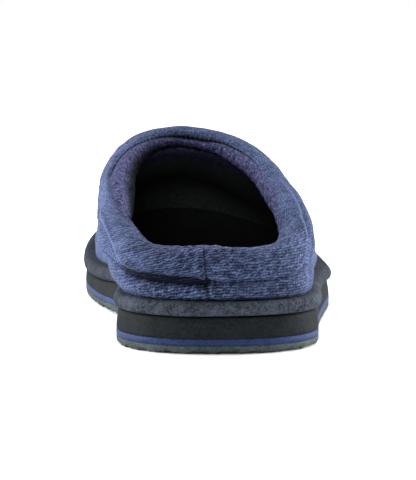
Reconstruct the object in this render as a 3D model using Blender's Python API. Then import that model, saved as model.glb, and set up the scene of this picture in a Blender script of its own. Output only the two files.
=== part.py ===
"""Scuff slipper for the right foot, standing empty on its sole.

Metres, +Z up, +Y from heel to toe, +X to the outer (lateral) side of the foot.
The origin is the middle of the slipper's bounding box, on the floor.
Pieces from the floor up: outsole, colour layer, midsole, wrapped platform, insole, knitted upper
and padded collar. Every piece is lofted from the same sole outline and the same wall function.
"""

import math

import bmesh
import bpy
import numpy as np

MM = 0.001

# Driving sizes of the sole
SOLE_LENGTH = 286 * MM
HEEL_WIDTH = 81.5 * MM
WAIST_WIDTH = 83.5 * MM
BALL_WIDTH = 108.5 * MM
HEEL_ROUND = 42 * MM
TOE_ROUND = 86 * MM
TOE_SPRING = 14 * MM
ARCH_LIFT = 1.2 * MM

# Thickness of each layer, from the floor up
OUTSOLE_THICK = 3.2 * MM
LAYER_THICK = 2.1 * MM
MIDSOLE_HEEL_THICK = 8.2 * MM
MIDSOLE_TOE_THICK = 5.2 * MM
PLATFORM_THICK = 6.3 * MM
INSOLE_THICK = 4.0 * MM
MEETING_GAP = 0.3 * MM

# Tread of the outsole
TREAD_PITCH = 9.0 * MM
TREAD_GROOVE = 2.4 * MM
TREAD_DEPTH = 1.2 * MM
TREAD_DRAFT = 0.4 * MM
OUTSOLE_EDGE_ROUND = 1.8 * MM

# How far each side stands in or out from the sole outline
MIDSOLE_DRAFT = 0.7 * MM
PLATFORM_BULGE = 1.1 * MM
PLATFORM_SHOULDER = 2.4 * MM
HEEL_SHELF = 2.8 * MM
BALL_SHELF = 4.4 * MM
INSOLE_CLEARANCE = 0.8 * MM
INSOLE_TAPER = 2.2 * MM

# The upper and its opening
WALL_THICK = 3.2 * MM
OPENING_LENGTH = 121 * MM
OPENING_WIDTH = 80 * MM
OPENING_SET_BACK = 4.0 * MM
HEEL_COLLAR_HEIGHT = 41.5 * MM
THROAT_HEIGHT = 82 * MM

# The padded collar
COLLAR_THICK = 10.5 * MM
COLLAR_HEEL_DEPTH = 14.5 * MM
COLLAR_THROAT_DEPTH = 12.5 * MM
COLLAR_PROUD = 1.4 * MM
WALL_TOP_RISE = 0.5 * MM
COLLAR_SQUARENESS = 2.6

# Counts of the facets
SPOKES = 80
WALL_ROWS = 11
COLLAR_FACETS = 12
END_STEPS = 9
SPOKE_CROWDING = 0.03

# The sole's sides before its ends are rounded. Each row: place along the sole as a share of its
# length, the width that rules there, and the shares of that width to the medial and lateral side.
SIDES = (
    (0.00, HEEL_WIDTH, 0.500, 0.500),
    (0.14, HEEL_WIDTH, 0.500, 0.500),
    (0.21, HEEL_WIDTH, 0.482, 0.520),
    (0.30, WAIST_WIDTH, 0.458, 0.552),
    (0.39, (WAIST_WIDTH + BALL_WIDTH) / 2, 0.414, 0.529),
    (0.48, BALL_WIDTH, 0.405, 0.504),
    (0.57, BALL_WIDTH, 0.448, 0.519),
    (0.66, BALL_WIDTH, 0.476, 0.519),
    (0.75, BALL_WIDTH, 0.484, 0.505),
    (1.00, BALL_WIDTH, 0.484, 0.455),
)
HEEL_TIP_SHIFT = -0.02
TOE_TIP_SHIFT = -0.06
HEEL_SQUARENESS = 2.5
TOE_MEDIAL_SQUARENESS = 2.4
TOE_LATERAL_SQUARENESS = 2.0

# The collar's top edge, a row for each spoke that runs up the wall. Each row: the spoke as a share
# of the way round from the back of the heel by the lateral side, then the edge's place across
# (share of the opening's width), along (share of its length) and its rise from the heel collar
# to the throat (share of that rise).
RIM = (
    (0.000, -0.045, 0.000, 0.00),
    (0.050, 0.290, 0.050, 0.02),
    (0.100, 0.418, 0.225, 0.19),
    (0.170, 0.420, 0.415, 0.41),
    (0.250, 0.343, 0.620, 0.62),
    (0.330, 0.230, 0.815, 0.81),
    (0.420, 0.055, 0.950, 0.95),
    (0.500, -0.145, 1.000, 0.99),
    (0.580, -0.325, 0.960, 0.95),
    (0.670, -0.465, 0.835, 0.82),
    (0.750, -0.545, 0.655, 0.64),
    (0.830, -0.572, 0.450, 0.44),
    (0.900, -0.530, 0.245, 0.22),
    (0.950, -0.385, 0.065, 0.04),
)

# How the wall leaves the platform and meets the collar. Each row: the spoke, the lean outwards at
# the foot of the wall and the steepness under the collar (degrees), then how far each direction
# holds, as shares of the distance between the foot of the wall and the collar.
WALL_RUN = (
    (0.000, 26, 84, 0.36, 0.30),
    (0.100, 24, 82, 0.36, 0.30),
    (0.170, 4, 84, 0.34, 0.30),
    (0.250, -8, 70, 0.34, 0.32),
    (0.330, -8, 50, 0.30, 0.38),
    (0.420, -3, 34, 0.24, 0.48),
    (0.500, 4, 24, 0.22, 0.50),
    (0.580, -3, 34, 0.24, 0.48),
    (0.670, -14, 55, 0.30, 0.38),
    (0.750, -17, 78, 0.34, 0.30),
    (0.830, -2, 90, 0.34, 0.30),
    (0.900, 22, 86, 0.36, 0.30),
)


def through(rows, column, at, period=None):
    """A smooth curve through one column of a table, read at the places in the first column."""
    knots = np.array([row[0] for row in rows])
    values = np.array([row[column] for row in rows])
    if period:
        knots = np.concatenate([knots[-2:] - period, knots, knots[:3] + period])
        values = np.concatenate([values[-2:], values, values[:3]])
    slopes = np.gradient(values, knots)
    at = np.asarray(at, float)
    i = np.clip(np.searchsorted(knots, at, side="right") - 1, 0, len(knots) - 2)
    span = knots[i + 1] - knots[i]
    t = (at - knots[i]) / span
    return (
        (2 * t**3 - 3 * t**2 + 1) * values[i]
        + (t**3 - 2 * t**2 + t) * span * slopes[i]
        + (3 * t**2 - 2 * t**3) * values[i + 1]
        + (t**3 - t**2) * span * slopes[i + 1]
    )


def smooth_step(t):
    t = np.clip(t, 0, 1)
    return t * t * (3 - 2 * t)


# The sole: its outline and the height of each layer


def rounded_end(away, reach, squareness):
    """How much of the full width is left at a distance from the tip of a rounded end."""
    t = np.clip(1 - away / reach, 0, 1)
    return (1 - t**squareness) ** (1 / squareness)


def side_edges(y):
    """The medial and lateral edge of the sole at the places y."""
    along = y / SOLE_LENGTH
    width = through([(row[0], row[1]) for row in SIDES], 1, along)
    medial = -through(SIDES, 2, along) * width
    lateral = through(SIDES, 3, along) * width
    heel = rounded_end(y, HEEL_ROUND, HEEL_SQUARENESS)
    edges = []
    for edge, squareness in ((medial, TOE_MEDIAL_SQUARENESS), (lateral, TOE_LATERAL_SQUARENESS)):
        toe = rounded_end(SOLE_LENGTH - y, TOE_ROUND, squareness)
        edge = HEEL_TIP_SHIFT * HEEL_WIDTH + (edge - HEEL_TIP_SHIFT * HEEL_WIDTH) * heel
        edges.append(TOE_TIP_SHIFT * BALL_WIDTH + (edge - TOE_TIP_SHIFT * BALL_WIDTH) * toe)
    return edges


def dense_outline(steps=60):
    """The sole outline from the back of the heel by the lateral side to the toe and back."""
    turn = 1 - np.cos(np.linspace(0, math.pi / 2, steps))
    straight = np.linspace(HEEL_ROUND, SOLE_LENGTH - TOE_ROUND, steps + 1)[1:-1]
    y = np.concatenate([HEEL_ROUND * turn, straight, (SOLE_LENGTH - TOE_ROUND * turn)[::-1]])
    medial, lateral = side_edges(y)
    out = np.column_stack([lateral, y])
    back = np.column_stack([medial, y])[::-1]
    halves = []
    for start, half in ((0.0, out), (0.5, back)):
        steps_along = np.linalg.norm(np.diff(half, axis=0), axis=1)
        run = np.concatenate([[0], np.cumsum(steps_along)])
        halves.append(start + 0.5 * run / run[-1])
    share = np.concatenate([halves[0], halves[1][1:-1]])
    points = np.concatenate([out, back[1:-1]])
    ahead = np.roll(points, -1, axis=0) - np.roll(points, 1, axis=0)
    normal = np.column_stack([ahead[:, 1], -ahead[:, 0]])
    return share, points, normal / np.linalg.norm(normal, axis=1)[:, None]


OUTLINE = dense_outline()


def outline(spoke, outset=0.0):
    """Points of the sole outline at the spokes, moved outwards by outset."""
    share, points, normal = OUTLINE
    moved = points + normal * np.asarray(outset)
    return np.column_stack([np.interp(spoke, share, moved[:, i], period=1.0) for i in (0, 1)])


def outline_normal(spoke):
    share, _, normal = OUTLINE
    found = np.column_stack([np.interp(spoke, share, normal[:, i], period=1.0) for i in (0, 1)])
    return found / np.linalg.norm(found, axis=1)[:, None]


def shelf_line(spoke, further=0.0):
    """Where the outside of the wall stands on the platform, or a line further inwards."""
    plan = outline(spoke)
    front = smooth_step((plan[:, 1] / SOLE_LENGTH - 0.15) / 0.25)
    inset = HEEL_SHELF + (BALL_SHELF - HEEL_SHELF) * front + further
    return plan - outline_normal(spoke) * inset[:, None]


def floor_line(y):
    """The underside of the sole: flat at heel and ball, lifted at the arch and at the toe."""
    along = y / SOLE_LENGTH
    spring = TOE_SPRING * np.clip((along - 0.65) / 0.35, 0, None) ** 1.6
    arch = ARCH_LIFT * np.sin(np.clip((along - 0.26) / 0.27, 0, 1) * math.pi) ** 2
    return spring + arch


def midsole_thick(y):
    fade = smooth_step((y / SOLE_LENGTH - 0.25) / 0.4)
    return MIDSOLE_HEEL_THICK + (MIDSOLE_TOE_THICK - MIDSOLE_HEEL_THICK) * fade


def layer_base(layer, y):
    """Height of a layer's underside over the floor at y. Each layer lies a gap over the last."""
    height = floor_line(y)
    stack = (
        ("outsole", OUTSOLE_THICK),
        ("colour_layer", LAYER_THICK),
        ("midsole", midsole_thick(y)),
        ("platform", PLATFORM_THICK),
        ("insole", INSOLE_THICK),
    )
    for name, thick in stack:
        if name == layer:
            return height
        height = height + thick + MEETING_GAP
    raise ValueError(layer)


def spokes(count):
    """Spokes all the way round, closer together at the heel and the toe."""
    k = np.arange(count) / count
    return k - SPOKE_CROWDING * np.sin(4 * math.pi * k)


# Making closed meshes from rings of points


def add_faces(bm, lower, upper):
    count = len(lower)
    for i in range(count):
        j = (i + 1) % count
        bm.faces.new((lower[i], lower[j], upper[j], upper[i]))


def add_cap(bm, ring):
    """Closes a ring with strips that run straight across, from the heel to the toe."""
    count = len(ring)
    for i in range(count // 2):
        corners = [ring[i], ring[i + 1], ring[(count - i - 1) % count], ring[(count - i) % count]]
        unique = list(dict.fromkeys(corners))
        bm.faces.new(unique)


def loft(name, rings, material, ring_shaped=False):
    """One closed object through rings of points. A ring-shaped one closes on its first ring."""
    bm = bmesh.new()
    verts = [[bm.verts.new(point) for point in ring] for ring in rings]
    for lower, upper in zip(verts, verts[1:]):
        add_faces(bm, lower, upper)
    if ring_shaped:
        add_faces(bm, verts[-1], verts[0])
    else:
        add_cap(bm, verts[0])
        add_cap(bm, verts[-1])
    bmesh.ops.triangulate(bm, faces=bm.faces)
    bmesh.ops.recalc_face_normals(bm, faces=bm.faces)
    mesh = bpy.data.meshes.new(name)
    bm.to_mesh(mesh)
    bm.free()
    mesh.shade_smooth()
    mesh.set_sharp_from_angle(angle=math.radians(40))
    mesh.materials.append(material)
    obj = bpy.data.objects.new(name, mesh)
    bpy.context.scene.collection.objects.link(obj)
    return obj


def material(name, colour, roughness):
    made = bpy.data.materials.new(name)
    made.use_nodes = True
    shader = made.node_tree.nodes["Principled BSDF"]
    shader.inputs["Base Color"].default_value = (*colour, 1)
    shader.inputs["Roughness"].default_value = roughness
    shader.inputs["Metallic"].default_value = 0
    return made


def sole_ring(spoke, layer, outset, rise):
    """A ring round the sole, at a rise above the underside of its layer."""
    plan = outline(spoke, outset)
    return np.column_stack([plan, layer_base(layer, plan[:, 1]) + rise])


# The layers of the sole


def tread_stations():
    """Places along the sole for the outsole's points, with how deep the tread is cut at each."""
    groove_run = TREAD_GROOVE - 2 * TREAD_DRAFT
    turn = 1 - np.cos(np.linspace(0, math.pi / 2, END_STEPS))
    heel_end = list(HEEL_ROUND * 0.35 * turn[1:])
    first = heel_end[-1] + TREAD_PITCH / 2
    last = SOLE_LENGTH - TOE_ROUND * 0.3
    count = int((last - first) / TREAD_PITCH)
    rows = [(0.0, 0.0)] + [(y, 0.0) for y in heel_end]
    for i in range(count):
        start = first + i * TREAD_PITCH
        rows.append((start, 0.0))
        rows.append((start + TREAD_DRAFT, TREAD_DEPTH))
        rows.append((start + TREAD_DRAFT + groove_run, TREAD_DEPTH))
        rows.append((start + TREAD_GROOVE, 0.0))
    toe_start = rows[-1][0]
    reach = SOLE_LENGTH - toe_start
    for step in turn[::-1][1:]:
        rows.append((SOLE_LENGTH - reach * step, 0.0))
    return np.array(rows)


def make_outsole(finish):
    """Rubber outsole: grooves run right across, so its lower edge is notched all round."""
    stations = tread_stations()
    y, cut = stations[:, 0], stations[:, 1]
    medial, lateral = side_edges(y)
    loop_y = np.concatenate([y, y[-2:0:-1]])
    loop_cut = np.concatenate([cut, cut[-2:0:-1]])
    loop_x = np.concatenate([lateral, medial[-2:0:-1]])
    half = SOLE_LENGTH / 2
    middle = (medial.mean() + lateral.mean()) / 2
    rings = []
    for inset, rise, cut_share in (
        (OUTSOLE_EDGE_ROUND, 0.0, 1.0),
        (OUTSOLE_EDGE_ROUND * 0.25, OUTSOLE_EDGE_ROUND * 0.75, 0.45),
        (0.0, OUTSOLE_THICK * 0.8, 0.0),
        (0.0, OUTSOLE_THICK, 0.0),
    ):
        x = middle + (loop_x - middle) * (1 - 2 * inset / BALL_WIDTH)
        along = half + (loop_y - half) * (1 - inset / half)
        rings.append(
            np.column_stack([x, along, layer_base("outsole", along) + rise + loop_cut * cut_share])
        )
    return loft("outsole", rings, finish)


def make_colour_layer(finish):
    spoke = spokes(SPOKES)
    rings = [sole_ring(spoke, "colour_layer", 0.0, rise) for rise in (0.0, LAYER_THICK)]
    return loft("colour_layer", rings, finish)


def make_midsole(finish):
    """Foam wedge, thick under the heel and thin under the toes, drawn in towards its top."""
    spoke = spokes(SPOKES)
    rings = []
    for share in (0.0, 0.5, 1.0):
        plan = outline(spoke, -MIDSOLE_DRAFT * share)
        y = plan[:, 1]
        z = layer_base("midsole", y) + midsole_thick(y) * share
        rings.append(np.column_stack([plan, z]))
    return loft("midsole", rings, finish)


def make_platform(finish):
    """The padded platform in its soft wrap: its side bulges and rolls over to a flat top."""
    spoke = spokes(SPOKES)
    side = (
        (-MIDSOLE_DRAFT - 1.2 * MM, 0.0),
        (-MIDSOLE_DRAFT + (PLATFORM_BULGE + MIDSOLE_DRAFT) * 0.55, 0.12),
        (PLATFORM_BULGE, 0.42),
        (PLATFORM_BULGE * 0.75, 0.68),
        (-PLATFORM_SHOULDER * 0.25, 0.90),
        (-PLATFORM_SHOULDER, 1.0),
    )
    rings = [sole_ring(spoke, "platform", outset, PLATFORM_THICK * rise) for outset, rise in side]
    return loft("platform", rings, finish)


def make_insole(finish):
    """The footbed inside the upper. Its side leans in with the wall and its upper edge is round."""
    spoke = spokes(SPOKES)
    rings = []
    for rise, taper in ((0.0, 0.0), (0.6, 0.6), (1.0, 1.4)):
        plan = shelf_line(spoke, WALL_THICK + INSOLE_CLEARANCE + INSOLE_TAPER * taper)
        z = layer_base("insole", plan[:, 1]) + INSOLE_THICK * rise
        rings.append(np.column_stack([plan, z]))
    return loft("insole", rings, finish)


# The wall of the upper and the collar on it


def unit(vectors):
    return vectors / np.linalg.norm(vectors, axis=1)[:, None]


def dot(a, b):
    return (a * b).sum(axis=1)[:, None]


def run_of(points):
    """Unit directions along a closed ring of points."""
    return unit(np.roll(points, -1, axis=0) - np.roll(points, 1, axis=0))


def collar_depth(spoke):
    """How far the padded collar reaches down the wall at each spoke."""
    front = smooth_step(1 - np.abs(spoke - 0.5) / 0.35)
    return COLLAR_HEEL_DEPTH + (COLLAR_THROAT_DEPTH - COLLAR_HEEL_DEPTH) * front


def collar_frame(spoke):
    """The collar's top edge, with the directions along it, down the wall and outwards."""
    across = through(RIM, 1, spoke, 1.0) * OPENING_WIDTH
    along = OPENING_SET_BACK + through(RIM, 2, spoke, 1.0) * OPENING_LENGTH
    rise = through(RIM, 3, spoke, 1.0) * (THROAT_HEIGHT - HEEL_COLLAR_HEIGHT)
    edge = np.column_stack([across, along, HEEL_COLLAR_HEIGHT + rise])
    run = run_of(edge)
    aside = unit(np.column_stack([run[:, 1], -run[:, 0], 0 * spoke]))
    steep = np.radians(through(WALL_RUN, 2, spoke, 1.0))[:, None]
    down = aside * np.cos(steep) - np.array([0, 0, 1]) * np.sin(steep)
    down = unit(down - run * dot(down, run))
    return edge, run, down, np.cross(down, run)


def wall_controls(spoke):
    """Four control points of each spoke's curve, from the platform's edge up to the collar."""
    plan = shelf_line(spoke)
    foot = np.column_stack([plan, layer_base("insole", plan[:, 1])])
    foot_run = run_of(foot)
    lean = np.radians(through(WALL_RUN, 1, spoke, 1.0))
    leave = np.column_stack([outline_normal(spoke) * np.sin(lean)[:, None], np.cos(lean)])
    edge, run, down, _ = collar_frame(spoke)
    seat = edge + down * (collar_depth(spoke) + MEETING_GAP - WALL_TOP_RISE)[:, None]
    span = seat - foot
    reach = np.linalg.norm(span, axis=1)[:, None]
    leave = unit(leave + foot_run * dot(span, foot_run) / np.maximum(dot(span, leave), reach / 3))
    meet = unit(down - run * dot(span, run) / np.maximum(-dot(span, down), reach / 3))
    stand = through(WALL_RUN, 3, spoke, 1.0)[:, None] * reach
    fall = through(WALL_RUN, 4, spoke, 1.0)[:, None] * reach
    return foot, foot + leave * stand, seat + meet * fall, seat


def wall_point(controls, t):
    """Points on the spokes' curves, t from 0 at the foot to 1 at the collar's top."""
    a, b, c, d = controls
    t = np.asarray(t)[:, None]
    s = 1 - t
    return s**3 * a + 3 * s**2 * t * b + 3 * s * t**2 * c + t**3 * d


def wall_rows(controls, lengths):
    """Rows of points at given lengths up the wall, one length for each spoke in each row."""
    fine = np.linspace(0, 1, 81)
    count = len(controls[0])
    path = np.array([wall_point(controls, np.full(count, t)) for t in fine])
    run = np.concatenate(
        [np.zeros((1, count)), np.cumsum(np.linalg.norm(np.diff(path, axis=0), axis=2), axis=0)]
    )
    rows = []
    for row in lengths(run[-1]):
        t = np.array([np.interp(row[k], run[:, k], fine) for k in range(count)])
        rows.append(wall_point(controls, t))
    return np.array(rows)


def row_normals(rows):
    """Outward normals of a grid of points, rows going up the wall."""
    around = np.roll(rows, -1, axis=1) - np.roll(rows, 1, axis=1)
    up = np.gradient(rows, axis=0)
    normal = np.cross(around, up)
    return normal / np.linalg.norm(normal, axis=2)[:, :, None]


def make_collar(finish):
    """The padded roll round the opening."""
    spoke = spokes(SPOKES)
    edge, _, down, out = collar_frame(spoke)
    depth = collar_depth(spoke)
    middle = edge + down * (depth / 2)[:, None] + out * (COLLAR_PROUD - COLLAR_THICK / 2)
    rings = []
    for k in range(COLLAR_FACETS):
        angle = 2 * math.pi * k / COLLAR_FACETS
        fall = math.copysign(abs(math.cos(angle)) ** (2 / COLLAR_SQUARENESS), -math.cos(angle))
        push = math.copysign(abs(math.sin(angle)) ** (2 / COLLAR_SQUARENESS), math.sin(angle))
        rings.append(middle + down * (depth / 2 * fall)[:, None] + out * (COLLAR_THICK / 2 * push))
    return loft("collar", rings, finish, ring_shaped=True)


def make_upper(finish):
    """The hollow upper: one wall, open underneath and under the collar."""
    spoke = spokes(SPOKES)
    shares = np.linspace(0, 1, WALL_ROWS) ** 1.2
    outer = wall_rows(wall_controls(spoke), lambda full: [full * share for share in shares])
    inner = outer - row_normals(outer) * WALL_THICK
    plan = shelf_line(spoke, WALL_THICK)
    inner[0] = np.column_stack([plan, layer_base("insole", plan[:, 1])])
    _, _, down, out = collar_frame(spoke)
    inner[-1] = outer[-1] - out * WALL_THICK + down * WALL_TOP_RISE
    return loft("upper", [*outer, *inner[::-1]], finish, ring_shaped=True)


def stand_on_origin(objects):
    """Moves the slipper so that the middle of its bounding box stands on the origin."""
    corners = np.array([vert.co for obj in objects for vert in obj.data.vertices])
    low, high = corners.min(axis=0), corners.max(axis=0)
    for obj in objects:
        obj.location = (-(low[0] + high[0]) / 2, -(low[1] + high[1]) / 2, -low[2])


def main():
    for obj in list(bpy.data.objects):
        bpy.data.objects.remove(obj)
    knit = material("heather_knit", (0.16, 0.20, 0.36), 0.95)
    suede = material("slate_suede", (0.06, 0.07, 0.09), 0.9)
    foam = material("charcoal_foam", (0.03, 0.035, 0.04), 0.7)
    blue = material("blue_foam", (0.06, 0.10, 0.28), 0.6)
    rubber = material("grey_rubber", (0.09, 0.10, 0.11), 0.65)
    terry = material("dark_terry", (0.05, 0.05, 0.07), 0.95)
    stand_on_origin(
        [
            make_outsole(rubber),
            make_colour_layer(blue),
            make_midsole(foam),
            make_platform(suede),
            make_insole(terry),
            make_upper(knit),
            make_collar(knit),
        ]
    )


main()
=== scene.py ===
"""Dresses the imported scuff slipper: knit, padded collar, suede platform, foam, rubber and a studio.

Metres, +Z up, +Y from heel to toe, +X to the outer side of the right foot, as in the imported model.
"""
import math

import bmesh
import bpy
import numpy as np
from bpy.props import FloatProperty, FloatVectorProperty, PointerProperty
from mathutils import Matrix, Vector
from mathutils.kdtree import KDTree


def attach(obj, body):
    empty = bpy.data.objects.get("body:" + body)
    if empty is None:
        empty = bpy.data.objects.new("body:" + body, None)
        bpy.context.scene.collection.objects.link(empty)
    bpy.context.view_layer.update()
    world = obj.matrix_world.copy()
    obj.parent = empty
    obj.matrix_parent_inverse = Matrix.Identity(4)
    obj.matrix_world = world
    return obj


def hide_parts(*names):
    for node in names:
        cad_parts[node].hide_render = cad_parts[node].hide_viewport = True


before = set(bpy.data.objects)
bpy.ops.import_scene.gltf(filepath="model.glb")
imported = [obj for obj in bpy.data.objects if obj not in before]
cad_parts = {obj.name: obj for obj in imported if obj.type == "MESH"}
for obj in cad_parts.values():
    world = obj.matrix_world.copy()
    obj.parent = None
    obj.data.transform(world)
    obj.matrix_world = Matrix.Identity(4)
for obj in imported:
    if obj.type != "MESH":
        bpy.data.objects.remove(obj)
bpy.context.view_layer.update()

bl_info = {
    "name": "Scuff slipper",
    "version": (1, 0, 0),
    "blender": (4, 5, 0),
    "location": "3D View > Sidebar > Slipper",
    "description": "Makes a knitted scuff slipper with a padded collar on a wrapped platform",
    "category": "Add Mesh",
}

MM = 0.001

# The solids' own sizes, so that every piece lies where its solid does
SOLE_LENGTH = 286 * MM
HEEL_WIDTH = 81.5 * MM
WAIST_WIDTH = 83.5 * MM
BALL_WIDTH = 108.5 * MM
HEEL_ROUND = 42 * MM
TOE_ROUND = 86 * MM
TOE_SPRING = 14 * MM
ARCH_LIFT = 1.2 * MM
OUTSOLE_THICK = 3.2 * MM
LAYER_THICK = 2.1 * MM
MIDSOLE_HEEL_THICK = 8.2 * MM
MIDSOLE_TOE_THICK = 5.2 * MM
PLATFORM_THICK = 6.3 * MM
INSOLE_THICK = 4.0 * MM
MEETING_GAP = 0.3 * MM
PLATFORM_BULGE = 1.1 * MM
HEEL_SHELF = 2.8 * MM
BALL_SHELF = 4.4 * MM
WALL_THICK = 3.2 * MM
OPENING_LENGTH = 121 * MM
OPENING_WIDTH = 80 * MM
OPENING_SET_BACK = 4.0 * MM
HEEL_COLLAR_HEIGHT = 41.5 * MM
THROAT_HEIGHT = 82 * MM
COLLAR_THICK = 10.5 * MM
COLLAR_HEEL_DEPTH = 14.5 * MM
COLLAR_THROAT_DEPTH = 12.5 * MM
COLLAR_PROUD = 1.4 * MM
WALL_TOP_RISE = 0.5 * MM

# Place along the sole, ruling width, shares of it to the medial and to the lateral side
SIDES = (
    (0.00, HEEL_WIDTH, 0.500, 0.500),
    (0.14, HEEL_WIDTH, 0.500, 0.500),
    (0.21, HEEL_WIDTH, 0.482, 0.520),
    (0.30, WAIST_WIDTH, 0.458, 0.552),
    (0.39, (WAIST_WIDTH + BALL_WIDTH) / 2, 0.414, 0.529),
    (0.48, BALL_WIDTH, 0.405, 0.504),
    (0.57, BALL_WIDTH, 0.448, 0.519),
    (0.66, BALL_WIDTH, 0.476, 0.519),
    (0.75, BALL_WIDTH, 0.484, 0.505),
    (1.00, BALL_WIDTH, 0.484, 0.455),
)
HEEL_TIP_SHIFT = -0.02
TOE_TIP_SHIFT = -0.06
HEEL_SQUARENESS = 2.5
TOE_MEDIAL_SQUARENESS = 2.4
TOE_LATERAL_SQUARENESS = 2.0
SPOKE_CROWDING = 0.03

# The collar's top edge: spoke, place across, along and up, as shares of the opening's sizes
RIM = (
    (0.000, -0.045, 0.000, 0.00),
    (0.050, 0.290, 0.050, 0.02),
    (0.100, 0.418, 0.225, 0.19),
    (0.170, 0.420, 0.415, 0.41),
    (0.250, 0.343, 0.620, 0.62),
    (0.330, 0.230, 0.815, 0.81),
    (0.420, 0.055, 0.950, 0.95),
    (0.500, -0.145, 1.000, 0.99),
    (0.580, -0.325, 0.960, 0.95),
    (0.670, -0.465, 0.835, 0.82),
    (0.750, -0.545, 0.655, 0.64),
    (0.830, -0.572, 0.450, 0.44),
    (0.900, -0.530, 0.245, 0.22),
    (0.950, -0.385, 0.065, 0.04),
)

# The wall: spoke, lean at its foot, steepness under the collar, and how far each direction holds
WALL_RUN = (
    (0.000, 26, 84, 0.36, 0.30),
    (0.100, 24, 82, 0.36, 0.30),
    (0.170, 4, 84, 0.34, 0.30),
    (0.250, -8, 70, 0.34, 0.32),
    (0.330, -8, 50, 0.30, 0.38),
    (0.420, -3, 34, 0.24, 0.48),
    (0.500, 4, 24, 0.22, 0.50),
    (0.580, -3, 34, 0.24, 0.48),
    (0.670, -14, 55, 0.30, 0.38),
    (0.750, -17, 78, 0.34, 0.30),
    (0.830, -2, 90, 0.34, 0.30),
    (0.900, 22, 86, 0.36, 0.30),
)

# The lining's seam: spoke, degrees from the roll's top inwards, and how dark its line is, partly as
# stitching and partly as painted shade in its groove
LINING_SEAM = (
    (0.002, -10, 0.0),
    (0.010, 6, 0.0),
    (0.030, 30, 0.0),
    (0.070, 60, 0.0),
    (0.120, 78, 0.0),
    (0.142, 76, 0.0),
    (0.166, 62, 0.0),
    (0.205, 50, 0.0),
    (0.240, 36, 0.1),
    (0.270, 22, 0.2),
    (0.300, 11, 0.6),
    (0.360, 8, 1.0),
    (0.415, 9, 1.5),
    (0.440, 15, 2.0),
    (0.470, 11, 1.8),
    (0.520, 3, 1.3),
    (0.600, 0, 0.9),
    (0.680, -8, 0.9),
    (0.760, -11, 0.6),
    (0.800, -8, 0.2),
    (0.857, 3, 0.0),
    (0.894, 14, 0.0),
    (0.930, 28, 0.0),
    (0.950, 20, 0.0),
    (0.968, 0, 0.0),
    (0.986, -12, 0.0),
)

# How far the roll's inner face leans back to the wall, in shares of ROLL_LEAN; below 0 it leans
# into the opening
SLOPE_BACK = (
    (0.00, 0.0),
    (0.14, 0.0),
    (0.25, 0.1),
    (0.35, 0.4),
    (0.45, 0.9),
    (0.55, 0.9),
    (0.62, -0.1),
    (0.68, -0.8),
    (0.75, -1.1),
    (0.83, -0.8),
    (0.90, 0.0),
    (0.97, 0.0),
)

# The fold under the roll: spoke, its depth, how far the roll bellies out over it, how far its
# underside is drawn up, how far the wall below it swells and how far the roll's foot is filled
# out to lie flush with the wall (all in mm)
FOLD = (
    (0.005, 1.3, 0.2, 0.0, 1.4, 0.0),
    (0.040, 0.9, 0.2, 0.0, 0.9, 0.3),
    (0.075, 0.3, 0.5, 0.0, 0.5, 1.8),
    (0.120, 0.1, 0.9, 0.0, 0.3, 2.2),
    (0.200, 0.2, 0.8, 0.0, 0.4, 2.0),
    (0.330, 0.4, 0.7, 0.0, 0.5, 1.6),
    (0.500, 0.6, 0.6, 0.0, 0.4, 1.2),
    (0.670, 0.4, 0.0, 0.0, 0.5, 1.6),
    (0.800, 0.2, 0.0, 0.0, 0.8, 2.0),
    (0.880, 0.3, 0.1, 0.0, 1.2, 2.0),
    (0.920, 1.0, 0.3, 0.2, 1.7, 1.2),
    (0.940, 3.0, 0.8, 1.2, 2.0, 0.3),
    (0.958, 4.4, 1.2, 2.2, 2.0, 0.0),
    (0.980, 4.0, 1.2, 2.1, 2.0, 0.0),
    (0.994, 3.2, 0.9, 1.6, 1.8, 0.0),
)

# Creases that climb the roll's flanks: spoke, degrees round the section and strength
CREASES = (
    (
        (0.046, 30, 0.0),
        (0.053, 45, 0.4),
        (0.065, 62, 0.7),
        (0.074, 82, 1.0),
        (0.083, 101, 1.0),
        (0.094, 127, 1.0),
        (0.114, 155, 0.9),
        (0.144, 163, 0.9),
        (0.180, 166, 0.5),
        (0.222, 158, 0.1),
        (0.270, 150, 0.0),
    ),
    (
        (0.780, 80, 0.0),
        (0.822, 88, 0.3),
        (0.871, 104, 1.0),
        (0.892, 106, 1.0),
        (0.904, 99, 1.0),
        (0.916, 90, 1.0),
        (0.924, 79, 1.0),
        (0.933, 62, 1.0),
        (0.939, 45, 0.8),
        (0.946, 30, 0.0),
    ),
)

# Where painted shade turns the lining dark under the roll: spoke, degrees round the section and over
# how many
LINING_PAINTED_SHADE = (
    (0.00, 300, 30),
    (0.12, 315, 30),
    (0.33, 300, 40),
    (0.42, 222, 60),
    (0.52, 186, 50),
    (0.62, 182, 62),
    (0.75, 199, 66),
    (0.85, 228, 56),
    (0.93, 270, 50),
)

# The most that the roll's underside is drawn up and its foot filled out (in mm), the lean that the
# shares above are of, and how square the roll's section is: 2 is an ellipse
MOST_DRAWN_UP = max(row[3] for row in FOLD)
MOST_FILLED_OUT = max(row[5] for row in FOLD)
ROLL_LEAN = 3.6 * MM
ROLL_SQUARENESS = 2.3

# Points round the roll's section, and which of them is on its outer belly
ROLL_TURNS = 72
OUTER_BELLY = 16

# The back seam: its spoke, how the roll's own leans as it climbs, and how far aside of it and how
# high the wall's seam at the heel runs
BACK_SEAM = 0.998
BACK_SEAM_LEAN = 0.085
HEEL_SEAM_ASIDE = 1.5 * MM
HEEL_SEAM_HEIGHT = 12 * MM

# Where the foot of the wall is drawn in: spoke, width in spokes and depth in mm
FOOT_DRAWN_IN = ((0.087, 0.032, 0.5), (0.245, 0.040, 1.4))

# The wall's end inside the roll, in mm: how far up into it and how far inwards from its face line.
# Then the knit's own thickness, and how far its foot drops into the gap over the platform
WALL_END = ((1.5, 1.2), (4.0, 2.6))
KNIT_THICK = 1.6 * MM
FOOT_DROP = 0.25 * MM
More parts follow.
